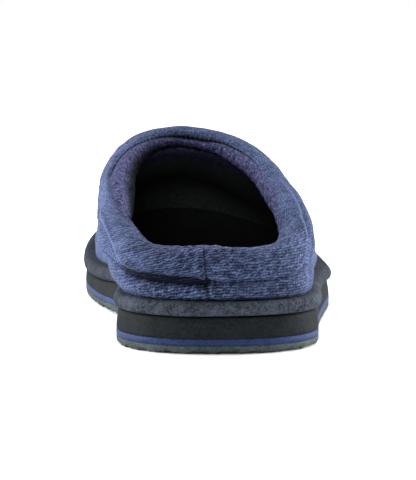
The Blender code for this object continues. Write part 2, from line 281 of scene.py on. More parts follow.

# The lining: how far its back lies inside the wall's face, how far its top is tucked up into the roll
# and inwards, how far it is padded out at most, and how far below the collar it turns to the dark
# colour that paints the shade of the shoe's inside
LINING_BACK = 2.9 * MM
LINING_TUCK_UP = 3.5 * MM
LINING_TUCK_IN = 5.0 * MM
LINING_PAD = 3.2 * MM
LINING_DARK_BELOW = 24 * MM

# A place on the cloth so far below the collar that the lining is dark there, with the painted shade of
# the shoe's inside
FAR_DOWN = 1.0

# Over how much of the rim the knit's rows stay level at the heel, and turn along it after that,
# and how steeply they climb to the back seam on its left, on the wall and on the roll
LEVEL_KNIT = 35 * MM
LEVEL_KNIT_FADE = 50 * MM
WALL_KNIT_CLIMB = 0.14
ROLL_KNIT_CLIMB = 0.36

# The sides of the sole's layers, from below: outset and rise in mm, the midsole's rise as a share
OUTSOLE_SIDE = (
    (-1.7, 0.25),
    (-1.0, 0.0),
    (-0.35, 0.5),
    (0.0, 1.3),
    (0.05, 2.2),
    (0.0, 2.9),
    (-0.25, 3.2),
)
BLUE_SIDE = ((-0.3, -0.3), (0.05, 0.1), (0.1, 1.0), (0.05, 2.1), (-0.3, 2.4))
MIDSOLE_SIDE = (
    (-0.4, 0.0),
    (0.0, 0.03),
    (0.0, 0.12),
    (-0.15, 0.4),
    (-0.45, 0.7),
    (-0.7, 0.94),
    (-1.2, 1.0),
)

# How far the platform's side curves in at its edges, and the tread's nubs along the outsole's edge
PLATFORM_ROUNDING = 3.2 * MM
NUB_SIZE = 6.5 * MM
NUB_PITCH = 2.9 * MM
TREAD_DEPTH = 0.75 * MM

# The footbed in mm: how far its side stands inside the wall and its rise, then at shares of its
# top's width how far it dips
FOOTBED_SIDE = ((1.2, 0.0), (0.9, 0.6), (1.3, 1.8), (2.4, 3.1), (4.2, 3.8), (7.0, 4.0))
FOOTBED_CUP = ((0.8, 0.25), (0.6, 0.6), (0.4, 0.9), (0.2, 1.1), (0.03, 1.1))

# How the roll's cloth behaves while it is blown up
ROLL_CLOTH = {
    "quality": 6,
    "mass": 0.15,
    "tension_stiffness": 12,
    "compression_stiffness": 12,
    "shear_stiffness": 4,
    "bending_stiffness": 0.4,
    "air_damping": 4,
    "use_pressure": True,
    "uniform_pressure_force": 4,
}

# Roughness of the knit and the suede, and how deep the bump of the knit and the terry is
CLOTH_ROUGHNESS = 0.95
KNIT_RELIEF = 0.7 * MM

# The studio, in metres and degrees. A lamp has its kind, place, power and other settings; an area
# lamp's power is in watts and a sun's in watts a square metre
FLOOR_REACH = 60.0
SURROUND_GLOW = 0.16
LAMPS = {
    "left_softbox": ("AREA", (-1.4, 0.45, 0.35), 74.0, {"size": 1.2}),
    "right_softbox": ("AREA", (1.4, 0.45, 0.35), 74.0, {"size": 1.2}),
    "front_fill": ("AREA", (-0.16, -1.6, 0.2), 3.6, {"size": 0.3}),
    "overhead": ("SUN", (0.0, 0.9, 2.0), 3.2, {"angle": math.radians(80)}),
}

# The camera: its lens in mm on a sensor of 36 mm, how it is turned and pitched down, and how far it
# stands behind the middle of the sole and to the left of it
CAMERA_LENS = 187.5
CAMERA_SENSOR = 36.0
CAMERA_TURN = -3.0
CAMERA_PITCH = 5.68
CAMERA_BACK = 0.960
CAMERA_ASIDE = 0.006


def slipper():
    """The user's sizes and colours."""
    return bpy.context.scene.slipper_sizes


# Curves and sections


def through(rows, column, at, period=None):
    """A smooth curve through one column of a table, read at the places in the first column."""
    knots = np.array([row[0] for row in rows])
    values = np.array([row[column] for row in rows])
    if period:
        knots = np.concatenate([knots[-2:] - period, knots, knots[:3] + period])
        values = np.concatenate([values[-2:], values, values[:3]])
    slopes = np.gradient(values, knots)
    at = np.asarray(at, float)
    i = np.clip(np.searchsorted(knots, at, side="right") - 1, 0, len(knots) - 2)
    span = knots[i + 1] - knots[i]
    t = (at - knots[i]) / span
    return (
        (2 * t**3 - 3 * t**2 + 1) * values[i]
        + (t**3 - 2 * t**2 + t) * span * slopes[i]
        + (3 * t**2 - 2 * t**3) * values[i + 1]
        + (t**3 - t**2) * span * slopes[i + 1]
    )


def columns(rows, spoke):
    """Every column of a table that goes round the slipper, read at the spokes."""
    return [through(rows, column, spoke, 1.0) for column in range(1, len(rows[0]))]


def smooth_step(t):
    """0 up to 0 and 1 from 1, with a soft rise between them."""
    t = np.clip(t, 0, 1)
    return t * t * (3 - 2 * t)


def bell(distance, width):
    """1 at no distance, about a third at the width and nothing at twice that."""
    return np.exp(-((distance / width) ** 2))


def rounded_end(away, reach, squareness):
    """How wide a rounded end is, as a share, at places away from its tip."""
    t = np.clip(1 - away / reach, 0, 1)
    return (1 - t**squareness) ** (1 / squareness)


def unit(vectors):
    return vectors / np.linalg.norm(vectors, axis=-1)[..., None]


def dot(a, b):
    """The dot product of vectors, as a column that multiplies them."""
    return (a * b).sum(axis=-1)[..., None]


def run_of(points):
    """The direction in which a closed ring of points runs."""
    return unit(np.roll(points, -1, axis=0) - np.roll(points, 1, axis=0))


def travel(points):
    """How far each point lies along its line of points, down the first axis."""
    steps = np.linalg.norm(np.diff(points, axis=0), axis=-1)
    return np.concatenate([np.zeros((1, *steps.shape[1:])), np.cumsum(steps, axis=0)])


def joined(rows):
    """Rows with their first spoke repeated after the last one."""
    return np.concatenate([rows, rows[:, :1]], axis=1)


def filled(rows, count):
    """Rows with the last one repeated until there are count of them."""
    return np.concatenate([rows, np.repeat(rows[-1:], count - len(rows), axis=0)])


def side_edges(y):
    """The medial and lateral edge of the sole at the places y."""
    along = y / SOLE_LENGTH
    width = through(SIDES, 1, along)
    medial = -through(SIDES, 2, along) * width
    lateral = through(SIDES, 3, along) * width
    heel = rounded_end(y, HEEL_ROUND, HEEL_SQUARENESS)
    edges = []
    for edge, squareness in ((medial, TOE_MEDIAL_SQUARENESS), (lateral, TOE_LATERAL_SQUARENESS)):
        toe = rounded_end(SOLE_LENGTH - y, TOE_ROUND, squareness)
        edge = HEEL_TIP_SHIFT * HEEL_WIDTH + (edge - HEEL_TIP_SHIFT * HEEL_WIDTH) * heel
        edges.append(TOE_TIP_SHIFT * BALL_WIDTH + (edge - TOE_TIP_SHIFT * BALL_WIDTH) * toe)
    return edges


def dense_outline(steps=60):
    """The sole outline from the back of the heel by the lateral side to the toe and back."""
    turn = 1 - np.cos(np.linspace(0, math.pi / 2, steps))
    straight = np.linspace(HEEL_ROUND, SOLE_LENGTH - TOE_ROUND, steps + 1)[1:-1]
    y = np.concatenate([HEEL_ROUND * turn, straight, (SOLE_LENGTH - TOE_ROUND * turn)[::-1]])
    medial, lateral = side_edges(y)
    out = np.column_stack([lateral, y])
    back = np.column_stack([medial, y])[::-1]
    halves = []
    for start, half in ((0.0, out), (0.5, back)):
        run = travel(half)
        halves.append(start + 0.5 * run / run[-1])
    share = np.concatenate([halves[0], halves[1][1:-1]])
    points = np.concatenate([out, back[1:-1]])
    run = run_of(points)
    return share, points, np.column_stack([run[:, 1], -run[:, 0]])


OUTLINE = dense_outline()


def outline_normal(spoke):
    share, _, normal = OUTLINE
    return unit(np.column_stack([np.interp(spoke, share, part, period=1.0) for part in normal.T]))


def outline(spoke, outset=0.0):
    """Points of the sole outline at the spokes, moved outwards by outset."""
    share, points, _ = OUTLINE
    plan = np.column_stack([np.interp(spoke, share, part, period=1.0) for part in points.T])
    return plan + outline_normal(spoke) * outset


def shelf_line(spoke, further=0.0):
    """Where the outside of the wall stands on the platform, or a line further inwards."""
    plan = outline(spoke)
    front = smooth_step((plan[:, 1] / SOLE_LENGTH - 0.15) / 0.25)
    inset = HEEL_SHELF + (BALL_SHELF - HEEL_SHELF) * front + further
    return plan - outline_normal(spoke) * inset[:, None]


def floor_line(y):
    """Height of the outsole's underside, lifted by the arch and the toe spring."""
    along = y / SOLE_LENGTH
    spring = TOE_SPRING * np.clip((along - 0.65) / 0.35, 0, None) ** 1.6
    arch = ARCH_LIFT * np.sin(np.clip((along - 0.26) / 0.27, 0, 1) * math.pi) ** 2
    return spring + arch


def midsole_thick(y):
    fade = smooth_step((y / SOLE_LENGTH - 0.25) / 0.4)
    return MIDSOLE_HEEL_THICK + (MIDSOLE_TOE_THICK - MIDSOLE_HEEL_THICK) * fade


def layer_base(layer, y):
    """Height of a layer's underside over the floor at y."""
    height = floor_line(y)
    stack = (
        ("outsole", OUTSOLE_THICK),
        ("colour_layer", LAYER_THICK),
        ("midsole", midsole_thick(y)),
        ("platform", PLATFORM_THICK),
        ("insole", INSOLE_THICK),
    )
    for name, thick in stack:
        if name == layer:
            return height
        height = height + thick + MEETING_GAP
    raise ValueError(layer)


def on_layer(layer, plan, rise=0.0):
    """A line seen from above, lifted to a rise over the underside of a layer."""
    return np.column_stack([plan, layer_base(layer, plan[:, 1]) + rise])


def ring_spokes(count):
    """Spokes all the way round from the back seam, closer together at the heel and the toe."""
    k = np.arange(count) / count
    return (k - SPOKE_CROWDING * np.sin(4 * math.pi * k) + BACK_SEAM) % 1.0


def collar_depth(spoke):
    """How deep the roll is from its top edge down."""
    front = smooth_step(1 - np.abs(spoke - 0.5) / 0.35)
    return COLLAR_HEEL_DEPTH + (COLLAR_THROAT_DEPTH - COLLAR_HEEL_DEPTH) * front


def collar_frame(spoke):
    """The collar's top edge, with the directions along it, down the wall and outwards."""
    across, along, rise = columns(RIM, spoke)
    along = OPENING_SET_BACK + along * OPENING_LENGTH
    rise = HEEL_COLLAR_HEIGHT + rise * (THROAT_HEIGHT - HEEL_COLLAR_HEIGHT)
    edge = np.column_stack([across * OPENING_WIDTH, along, rise])
    run = run_of(edge)
    aside = unit(np.column_stack([run[:, 1], -run[:, 0], 0 * spoke]))
    _, steep, _, _ = columns(WALL_RUN, spoke)
    steep = np.radians(steep)[:, None]
    down = aside * np.cos(steep) - np.array([0, 0, 1]) * np.sin(steep)
    down = unit(down - run * dot(down, run))
    return edge, run, down, np.cross(down, run)


def wall_controls(spoke):
    """Four control points of each spoke's curve, from the platform's edge up to the collar."""
    foot = on_layer("insole", shelf_line(spoke))
    foot_run = run_of(foot)
    lean, _, stand, fall = columns(WALL_RUN, spoke)
    lean = np.radians(lean)
    leave = np.column_stack([outline_normal(spoke) * np.sin(lean)[:, None], np.cos(lean)])
    edge, run, down, _ = collar_frame(spoke)
    seat = edge + down * (collar_depth(spoke) + MEETING_GAP - WALL_TOP_RISE)[:, None]
    span = seat - foot
    reach = np.linalg.norm(span, axis=1)[:, None]
    leave = unit(leave + foot_run * dot(span, foot_run) / np.maximum(dot(span, leave), reach / 3))
    meet = unit(down - run * dot(span, run) / np.maximum(-dot(span, down), reach / 3))
    return foot, foot + leave * stand[:, None] * reach, seat + meet * fall[:, None] * reach, seat


def wall_rows(spoke, shares):
    """Rows of points up the wall at the given shares of each spoke's length, and the lengths."""
    a, b, c, d = wall_controls(spoke)
    fine = np.linspace(0, 1, 81)[:, None, None]
    path = (1 - fine) ** 3 * a + 3 * (1 - fine) ** 2 * fine * b + 3 * (1 - fine) * fine**2 * c
    path = path + fine**3 * d
    run = travel(path)
    rows = np.empty((len(shares), len(spoke), 3))
    for k in range(len(spoke)):
        for axis in range(3):
            rows[:, k, axis] = np.interp(shares * run[-1, k], run[:, k], path[:, k, axis])
    return rows, run[-1]


def row_normals(rows):
    """Directions that stand off the rows of a skin."""
    around = np.roll(rows, -1, axis=1) - np.roll(rows, 1, axis=1)
    up = np.gradient(rows, axis=0)
    return unit(np.cross(around, up))


def from_back_seam(ring):
    """How far each point of a ring lies from the back seam, negative on the inner side."""
    run = travel(ring)
    return np.where(run > run[-1] / 2, run - run[-1], run)


def lumps(points, size, seed, waves=14):
    """Smooth, seeded unevenness from -1 to 1, with lumps of about the given size."""
    chance = np.random.default_rng(seed)
    total = 0
    for _ in range(waves):
        way = unit(chance.normal(size=3)) * chance.uniform(0.6, 1.6) * math.tau / size
        total = total + np.sin(points @ way + chance.uniform(0, math.tau))
    return total / math.sqrt(waves) * 0.7


def centre_shift():
    """What moves the sole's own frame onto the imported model's origin."""
    rim = outline(np.linspace(0, 1, 400, endpoint=False), PLATFORM_BULGE)
    low, high = rim.min(axis=0), rim.max(axis=0)
    return np.array([-(low[0] + high[0]) / 2, -(low[1] + high[1]) / 2, 0.0])


SHIFT = centre_shift()


# Meshes from skins


def skin(name, rows, cloth, capped=False, **maps):
    """A grid bent into a closed ring of rows, with its cloth coordinates in metres."""
    count_up, count_round = rows.shape[0] - 1, rows.shape[1]
    points = joined(rows) + SHIFT
    bm = bmesh.new()
    bm.loops.layers.uv.new("Cloth")
    bmesh.ops.create_grid(bm, x_segments=count_round, y_segments=count_up, size=0.5)
    mesh = bpy.data.meshes.new(name)
    bm.to_mesh(mesh)
    bm.free()
    at = np.empty(len(mesh.vertices) * 3)
    mesh.vertices.foreach_get("co", at)
    at = at.reshape(-1, 3)
    i = np.rint((at[:, 0] + 0.5) * count_round).astype(int)
    j = np.rint((at[:, 1] + 0.5) * count_up).astype(int)
    mesh.vertices.foreach_set("co", points[j, i].ravel())
    corners = np.empty(len(mesh.loops), np.int32)
    mesh.loops.foreach_get("vertex_index", corners)
    mesh.uv_layers[0].data.foreach_set("uv", cloth[j, i][corners].ravel())
    for title, pairs in maps.items():
        mesh.uv_layers.new(name=title).data.foreach_set("uv", pairs[j, i][corners].ravel())
    bm = bmesh.new()
    bm.from_mesh(mesh)
    bmesh.ops.remove_doubles(bm, verts=bm.verts, dist=1e-6)
    if capped:
        rim = [edge for edge in bm.edges if edge.is_boundary]
        bmesh.ops.holes_fill(bm, edges=rim, sides=0)
    bmesh.ops.recalc_face_normals(bm, faces=bm.faces)
    bm.to_mesh(mesh)
    bm.free()
    mesh.shade_smooth()
    obj = bpy.data.objects.new(name, mesh)
    bpy.context.scene.collection.objects.link(obj)
    return obj


def puffed(rows, held, spare, cap, frames=20):
    """Blows up a closed tube of cloth by simulation, and says how far each of its points moved.

    held says how firmly each point is sewn down, from 0 to 1, spare how much longer the cloth is
    than the shape it fills, and cap how far a point may move.
    """
    tube = skin("puffing", rows, plain_cloth(rows))
    mesh = tube.data
    flat = (rows[:-1] + SHIFT).reshape(-1, 3)
    tree = KDTree(len(flat))
    for index, point in enumerate(flat):
        tree.insert(point, index)
    tree.balance()
    place = np.array([tree.find(vertex.co)[1] for vertex in mesh.vertices])
    firm = held[:-1].reshape(-1)[place]
    group = tube.vertex_groups.new(name="held")
    for index, weight in enumerate(firm):
        group.add([index], float(weight), "REPLACE")
    cloth = tube.modifiers.new("cloth", "CLOTH")
    for key, value in ROLL_CLOTH.items():
        setattr(cloth.settings, key, value)
    cloth.settings.shrink_min = -spare
    cloth.settings.vertex_group_mass = "held"
    cloth.settings.effector_weights.gravity = 0
    cloth.collision_settings.use_collision = False
    cloth.collision_settings.use_self_collision = False
    cloth.point_cache.frame_start = 1
    cloth.point_cache.frame_end = frames
    scene = bpy.context.scene
    for number in range(1, frames + 1):
        scene.frame_set(number)
    blown = tube.evaluated_get(bpy.context.evaluated_depsgraph_get()).to_mesh()
    at = np.empty(len(blown.vertices) * 3)
    blown.vertices.foreach_get("co", at)
    move = at.reshape(-1, 3) - flat[place]
    far = np.linalg.norm(move, axis=1)[:, None]
    move = move * (cap * np.tanh(far / cap) / np.maximum(far, 1e-9))
    grid = np.zeros((rows.shape[0] - 1, rows.shape[1], 3))
    grid.reshape(-1, 3)[place] = move
    scene.frame_set(1)
    bpy.data.objects.remove(tube)
    bpy.data.meshes.remove(mesh)
    return np.concatenate([grid, grid[:1]])


def finer(grid, count_up, count_round):
    """Reads a grid of moves, closed both ways, at more rows and spokes."""
    up = np.linspace(0, grid.shape[0] - 1, count_up)
    closed = joined(grid)
    around = np.arange(count_round) * grid.shape[1] / count_round
    i, j = np.minimum(up.astype(int), grid.shape[0] - 2), around.astype(int)
    a, b = (up - i)[:, None, None], (around - j)[None, :, None]
    low = closed[i][:, j] * (1 - b) + closed[i][:, j + 1] * b
    high = closed[i + 1][:, j] * (1 - b) + closed[i + 1][:, j + 1] * b
    return low * (1 - a) + high * a


def way_round(closed):
    """How far along its rows each spoke of a closed skin lies, as the rows' mean."""
    return travel(np.swapaxes(closed, 0, 1)).mean(axis=1)


def plain_cloth(rows):
    """Cloth coordinates in metres: along the rows, and up across them."""
    closed = joined(rows)
    up = travel(closed)
    return np.stack([np.broadcast_to(way_round(closed), up.shape), up], axis=2)


def knit_flow(rows, below, climb):
    """Cloth coordinates whose rows stay level over the heel and then turn along the rim.

    Left of the back seam the rows climb towards it, by climb for each length along.
    """
    closed = joined(rows)
    along = way_round(closed)
    rise = np.gradient(closed[:, :, 2].max(axis=0), along)
    left = along[-1] - along
    level = 1 - smooth_step((np.minimum(along, left) - LEVEL_KNIT) / LEVEL_KNIT_FADE)
    slope = (rise - np.where(left < along, climb, 0.0)) * level
    bend = np.concatenate([[0], np.cumsum((slope[1:] + slope[:-1]) / 2 * np.diff(along))])
    return np.stack([np.broadcast_to(along, below.shape), below - bend], axis=2)


def inner_rings(ring, shares):
    """Rings that shrink from a sole ring towards the line down its middle."""
    y = ring[:, 1]
    middle_y = SOLE_LENGTH / 2 + (y - SOLE_LENGTH / 2) * 0.72
    medial, lateral = side_edges(middle_y)
    middle = np.column_stack([(medial + lateral) / 2, middle_y])
    return [ring * share + middle * (1 - share) for share in shares]


def layer_skin(layer, side, caps=(0.75, 0.45, 0.15, 0.03), count=320):
    """A layer of the sole: its underside, its side's profile of outset and rise, and its top.

    The midsole's rises are shares of its thickness.
    """
    spoke = ring_spokes(count)
    lines = [(outline(spoke, outset), rise) for outset, rise in side]
    (first, low), (last, high) = lines[0], lines[-1]
    lines = [(plan, low) for plan in inner_rings(first, caps[::-1])] + lines
    lines += [(plan, high) for plan in inner_rings(last, caps)]
    rows = []
    for plan, rise in lines:
        whole = midsole_thick(plan[:, 1]) if layer == "midsole" else 1.0
        rows.append(on_layer(layer, plan, rise * whole))
    return np.array(rows)


# Shader maths


def both_ways(operation):
    """A maths operation with a socket on its left, and its form with the socket on its right."""

    def forwards(self, other):
        return self.maths(operation, self, other)

    def reflected(self, other):
        return self.maths(operation, other, self)

    return forwards, reflected


class Socket:
    """One output of a shader node, with the maths of numbers on it."""

    __add__, __radd__ = both_ways("ADD")
    __sub__, __rsub__ = both_ways("SUBTRACT")
    __mul__, __rmul__ = both_ways("MULTIPLY")
    __truediv__, __rtruediv__ = both_ways("DIVIDE")

    def __init__(self, nodes, output):
        self.nodes = nodes
        self.output = output

    def maths(self, operation, *values):
        return self.nodes.make("ShaderNodeMath", {"operation": operation}, *values)

    def __abs__(self):
        return self.maths("ABSOLUTE", self)

    def floor(self):
        return self.maths("FLOOR", self)

    def fraction(self):
        return self.maths("FRACT", self)

    def clip(self):
        return self.nodes.make("ShaderNodeClamp", {}, self)

    def rise(self, start, over):
        """0 up to the start and 1 from a stretch further on, straight between them."""
        return ((self - start) / over).clip()

    def above(self, edge, softness):
        """0 below the edge and 1 above it, with a soft step."""
        return self.rise(edge - softness, 2 * softness)

    def near(self, centre, reach):
        """1 at the centre, falling to 0 at reach from it."""
        return (1 - abs(self - centre) / reach).clip()


class Nodes:
    """Makes the nodes of one tree."""

    def __init__(self, tree):
        self.tree = tree

    def make(self, kind, settings, *values, out=0, **named):
        """Adds a node: its settings first, then its sockets by order or by name."""
        node = self.tree.nodes.new(kind)
        for key, value in settings.items():
            setattr(node, key, value)
        for index, value in enumerate(values):
            self.feed(node.inputs[index], value)
        for key, value in named.items():
            self.feed(node.inputs[key.replace("_", " ")], value)
        return Socket(self, node.outputs[out])

    def feed(self, socket, value):
        if isinstance(value, Socket):
            self.tree.links.new(value.output, socket)
        elif value is not None:
            socket.default_value = value


class Finish(Nodes):
    """The nodes of one material."""

    def __init__(self, name, roughness, **uniform):
        self.material = bpy.data.materials.new(name)
        self.material.use_nodes = True
        super().__init__(self.material.node_tree)
        self.shader = self.tree.nodes["Principled BSDF"]
        self.wear(Roughness=roughness, **uniform)
        self.place = self.make("ShaderNodeTexCoord", {}, out="Object")

    def wear(self, **sockets):
        """Feeds the shader's own sockets."""
        for name, value in sockets.items():
            self.feed(self.shader.inputs[name.replace("_", " ")], value)
        return self.material

    def part(self, vector, axis):
        """One of a vector's three numbers."""
        return self.make("ShaderNodeSeparateXYZ", {}, vector, out=axis)

    def map(self, name):
        """The two numbers of a UV map."""
        found = self.make("ShaderNodeUVMap", {"uv_map": name})
        return self.part(found, 0), self.part(found, 1)

    def aside(self):
        """Distance from the slipper's middle line, to either side."""
        return abs(self.part(self.place, 0))

    def noise(self, size, detail=2.0, roughness=0.5):
        """Cloudy patches of about the given size."""
        return self.make(
            "ShaderNodeTexNoise", {}, self.place, Scale=1 / size, Detail=detail, Roughness=roughness
        )

    def blend(self, factor, first, second):
        """Mixes two colours, whose sockets come after those for plain numbers and vectors."""
        other_kinds = [None] * 5
        values = (factor, *other_kinds, first, second)
        return self.make("ShaderNodeMix", {"data_type": "RGBA"}, *values, out=2)

    def bump(self, height, depth):
        return self.make("ShaderNodeBump", {}, Strength=1.0, Distance=depth, Height=height)


def colour(red, green, blue):
    """A colour read as a picture's 0 to 255 values, made linear."""
    linear = []
    for value in (red, green, blue):
        value = value / 255
        linear.append(value / 12.92 if value <= 0.04045 else ((value + 0.055) / 1.055) ** 2.4)
    return (*linear, 1.0)


def dye(name):
    """One of the user's colours."""
    return (*getattr(slipper(), name), 1.0)


def knit_stitches(finish, along, up):
    """Height, gap and yarn shade of the knit: short slanting stitches in rows, some gaps dark."""
    sway = finish.noise(5 * MM) - 0.5
    drift = finish.noise(2.4 * MM) - 0.5
    row = (up + drift * (1.5 * MM)) / slipper().row_height
    part = row.fraction() - 0.5
    edge = abs(part) * 2.0
    across = (along + sway * (2.2 * MM)) / slipper().stitch_width + row.floor() * 0.37 + part * 0.8
    strand = 1.0 - abs(across.fraction() - 0.5) * 2.0
    cell = finish.make("ShaderNodeCombineXYZ", {}, across.floor(), row.floor(), 0.0)
    chance = finish.make("ShaderNodeTexWhiteNoise", {"noise_dimensions": "3D"}, cell)
    worn = finish.noise(6 * MM, 2.0, 0.6)
    loose = chance.above(0.55, 0.25) * (worn * 2.6 - 0.55).clip()
    outer_half = finish.part(finish.place, 0).rise(-4 * MM, 8 * MM)
    past_heel = finish.part(finish.place, 1).rise(-122 * MM, 45 * MM)
    flat = (past_heel + finish.aside().rise(27 * MM, 22 * MM) + outer_half * 0.35).clip()
    gap = edge.above(0.6, 0.35) * (loose + 0.12) * (1.0 - flat * 0.7)
    body = (1.0 - edge * edge) * (strand * 0.6 + 0.4) * (1.15 - chance * 0.6)
    return 0.4 + (body - 0.4) * (1.0 - flat * 0.55), gap, 0.5 + (chance - 0.5) * (1.0 - flat * 0.6)


def knit_colour(finish, along, up, painted_shade):
    """The heathered knit's colour, height and flecks, darker where painted shade lies in a fold and
    where a seam's stitching is dark.
    """
    body, gap, yarn = knit_stitches(finish, along, up)
    fleck = finish.noise(0.75 * MM, 3.0, 0.75)
    broad = finish.noise(14 * MM)
    fibre = finish.noise(0.42 * MM, 1.0)
    far = finish.aside().rise(39 * MM, 7 * MM)
    fine = ((fleck - 0.5) * 1.5 + (fibre - 0.5) * 1.2) * (1.0 - far * 0.5)
    shade = (0.5 - yarn) * 0.35 + fine + (body - 0.4) * 0.7
    shade = (shade + broad * 0.5 + 0.14).clip()
    base = finish.blend(shade, dye("knit_dark"), dye("knit_light"))
    # Painted shade: the fold's, the platform edge's and the deep lining's shade, with the knit's own
    # gaps and dark seam stitches, mixed towards a shadow colour
    dark = (gap * 1.1 + painted_shade * 0.85).clip()
    height = (body * 0.6 + fleck * 0.5) * (1.0 - far * 0.4)
    return finish.blend(dark, base, colour(12, 15, 28)), height, fleck


def knit_finish():
    """Heathered blue knit, with painted shade in its folds."""
    finish = Finish("heathered_knit", CLOTH_ROUGHNESS, Specular_IOR_Level=0.1)
    along, up = finish.map("Cloth")
    painted_shade, _ = finish.map("Seam")
    base, height, _ = knit_colour(finish, along, up, painted_shade)
    return finish.wear(Base_Color=base, Normal=finish.bump(height, KNIT_RELIEF))


def collar_finish():
    """Knit outside, terry inside, with a dark stitched seam between them whose darkness is partly
    painted shade of its groove; painted shade under the roll and deep in the lining, and a painted
    highlight and painted shade along the flank creases.
    """
    finish = Finish("collar_knit_and_terry", CLOTH_ROUGHNESS, Specular_IOR_Level=0.1)
    along, up = finish.map("Cloth")
    painted_shade, from_seam = finish.map("Seam")
    knit, height, fleck = knit_colour(finish, along, up, painted_shade)
    terry, pile = terry_pile(finish)
    line, past = finish.map("Trim")
    loose = (1 - line * 2.5).clip()
    ragged = from_seam + (fleck - 0.5) * (loose * (3.5 * MM) + 1.2 * MM)
    outside = ragged.above(0.0, 0.4 * MM)
    base = finish.blend(outside, terry, knit)
    # The seam's line: dark partly as stitching and partly as painted shade in its groove
    seam_line = ragged.near(0.3 * MM, line * (0.65 * MM) + 0.25 * MM)
    stitch = (along / (2.6 * MM)).fraction()
    dash = 1 - abs(stitch - 0.5).above(0.3, 0.12) * 0.5
    back_seam = (past + (fleck - 0.5) * (0.8 * MM)).near(0.0, 0.5 * MM) * outside
    # Painted shade under the roll and in the lining, with the dark seam lines, mixed towards a
    # near-black
    dark = (seam_line * dash * line * 1.4 + painted_shade * (1 - outside) + back_seam * 0.9).clip()
    base = finish.blend(dark, base, colour(9, 10, 18))
    from_crease, power = finish.map("Crease")
    # Painted highlight on the crease's ridge
    ridge_highlight = from_crease.near(0.6 * MM, 1.2 * MM) * power * 0.4
    base = finish.blend(ridge_highlight, base, dye("knit_light"))
    # Painted shade in the crease's trough
    trough_shade = from_crease.near(-0.9 * MM, 0.9 * MM) * power * 0.55
    base = finish.blend(trough_shade, base, colour(22, 26, 48))
    height = outside * height + (1 - outside) * (pile * 1.4 + fleck * 0.3)
    return finish.wear(Base_Color=base, Normal=finish.bump(height, KNIT_RELIEF))


def terry_pile(finish):
    """Colour and height of looped pile, with dark squiggles between its curls."""
    curl = finish.noise(1.7 * MM, 2.0, 0.6).near(0.5, 1 / 15)
    loops = finish.make("ShaderNodeTexVoronoi", {}, finish.place, Scale=1 / (1.3 * MM), Randomness=1.0)
    pile = 1 - loops - curl * 0.7
    mottle = (finish.noise(1.1 * MM, 3.0, 0.7) * 1.2 + pile * 0.4 - 0.3).clip()
    terry = finish.blend(mottle, dye("terry_dark"), dye("terry_light"))
    return finish.blend(curl * 0.42, terry, colour(24, 26, 46)), pile


def lining_finish():
    """Looped pile inside the upper: purple by the collar, and farther in a dark colour that is painted
    shade of the shoe's inside.
    """
    finish = Finish("inner_lining", 0.97, Specular_IOR_Level=0.15)
    _, up = finish.map("Cloth")
    terry, pile = terry_pile(finish)
    mottle = finish.noise(2.4 * MM, 3.0, 0.6)
    # Painted shade: the lining's dark colour deep inside the shoe
    deep_shade = finish.blend(mottle, colour(70, 76, 74), colour(82, 88, 86))
    base = finish.blend(up.above(-LINING_DARK_BELOW, 14 * MM), deep_shade, terry)
    return finish.wear(Base_Color=base, Normal=finish.bump(pile, KNIT_RELIEF))


def suede_finish():
    """Slate-blue brushed cloth whose nap lies in soft patches, darker towards the sides with painted
    shade.
    """
    finish = Finish("brushed_suede", CLOTH_ROUGHNESS, Specular_IOR_Level=0.05)
    patches = finish.noise(7 * MM, 3.0, 0.6)
    streaks = finish.noise(2.2 * MM, 3.0, 0.7)
    grain = finish.noise(0.8 * MM, 2.0, 0.6)
    aside = finish.aside().rise(37 * MM, 9 * MM)
    speckle = (grain - 0.5) * (1.4 - aside * 0.7)
    nap = ((patches - 0.5) * 0.9 + (streaks - 0.5) * 1.1) * (1 - aside * 0.5)
    # Painted shade: darker towards either side
    shade = (nap + speckle + 0.38 - aside * 0.2).clip()
    base = finish.blend(shade, dye("suede_dark"), dye("suede_light"))
    return finish.wear(Base_Color=base, Normal=finish.bump(grain + streaks, 0.4 * MM))


def foam_finish(name, dark, light, roughness):
    """Moulded foam with a fine pebbled skin, darker towards the sides with painted shade."""
    finish = Finish(name, roughness, Specular_IOR_Level=0.06)
    patches = finish.noise(11 * MM, 3.0, 0.6)
    grain = finish.noise(0.9 * MM, 3.0, 0.6)
    aside = finish.aside().rise(32 * MM, 10 * MM)
    # Painted shade: darker towards either side
    shade = ((patches - 0.5) * 0.8 + (grain - 0.5) * 1.6 + 0.5 - aside * 0.28).clip()
    return finish.wear(
        Base_Color=finish.blend(shade, dark, light),
        Roughness=(grain * 0.2 + (roughness - 0.1)).clip(),
        Normal=finish.bump(grain + patches * 0.5, 0.3 * MM),
    )


# Pieces


def dress(piece, node, finish):
    """Gives a piece its finish, and has it stand for its solid."""
    piece.data.materials.append(finish)
    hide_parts(node)
    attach(piece, "root")


def roll_section(spoke, turns):
    """The padded roll: rows of points round its section, from underneath by the outer side."""
    edge, _, down, out = collar_frame(spoke)
    depth = collar_depth(spoke)[:, None]
    middle = edge + down * (depth / 2) + out * (COLLAR_PROUD - COLLAR_THICK / 2)
    angle = np.linspace(0, math.tau, turns + 1)
    fall = np.sign(np.cos(angle)) * np.abs(np.cos(angle)) ** (2 / ROLL_SQUARENESS)
    push = np.sign(np.sin(angle)) * np.abs(np.sin(angle)) ** (2 / ROLL_SQUARENESS)
    rows = middle + fall[:, None, None] * down * depth / 2
    return rows + push[:, None, None] * out * COLLAR_THICK / 2, np.degrees(angle)


